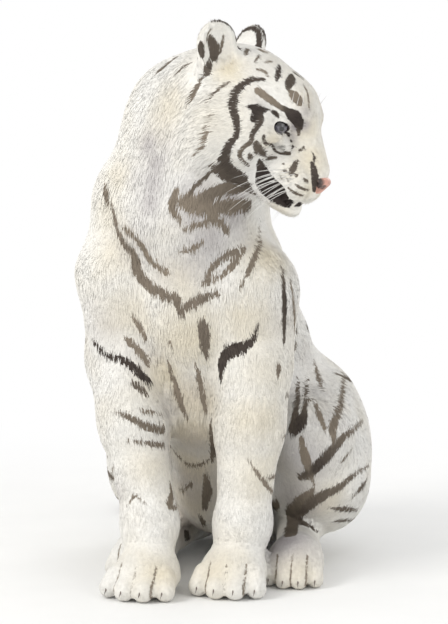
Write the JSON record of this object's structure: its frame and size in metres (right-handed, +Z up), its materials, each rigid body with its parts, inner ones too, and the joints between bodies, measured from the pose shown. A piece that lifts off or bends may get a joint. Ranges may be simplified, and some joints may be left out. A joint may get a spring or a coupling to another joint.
{
  "type": "tiger figure",
  "caption": "Life-size still model of a white tiger sitting upright, its head turned to its left and looking down.",
  "frame": {"origin": "on the floor, below the middle of the animal's own box", "axes": "+Z up, chest faces -Y, the animal's left side is +X"},
  "size_m": [0.67, 1.1252, 1.165],
  "materials": {
    "coat": "short white fur with brown and black stripes, longer on ruff, neck and belly",
    "eyes": "wet and glossy, dark grey-violet iris with a darker pupil",
    "nose": "fine-grained bare skin, pink with a darker edge",
    "claws": "smooth grey-brown horn"
  },
  "bodies": {
    "root": {"head": "coat", "lower_jaw": "coat", "nose": "nose", "ear_left": "coat", "eye_left": "eyes", "ear_right": "coat", "eye_right": "eyes", "neck": "coat", "chest": "coat", "rump": "coat", "foreleg_left_upper": "coat", "foreleg_left_lower": "coat", "paw_front_left": "coat", "claw_front_left_1": "claws", "claw_front_left_2": "claws", "claw_front_left_3": "claws", "claw_front_left_4": "claws", "thigh_left": "coat", "hock_left": "coat", "paw_hind_left": "coat", "claw_hind_left_1": "claws", "claw_hind_left_2": "claws", "claw_hind_left_3": "claws", "claw_hind_left_4": "claws", "foreleg_right_upper": "coat", "foreleg_right_lower": "coat", "paw_front_right": "coat", "claw_front_right_1": "claws", "claw_front_right_2": "claws", "claw_front_right_3": "claws", "claw_front_right_4": "claws", "thigh_right": "coat", "hock_right": "coat", "paw_hind_right": "coat", "claw_hind_right_1": "claws", "claw_hind_right_2": "claws", "claw_hind_right_3": "claws", "claw_hind_right_4": "claws", "tail_base": "coat", "tail_middle": "coat", "tail_tip": "coat"}
  },
  "joints": []
}
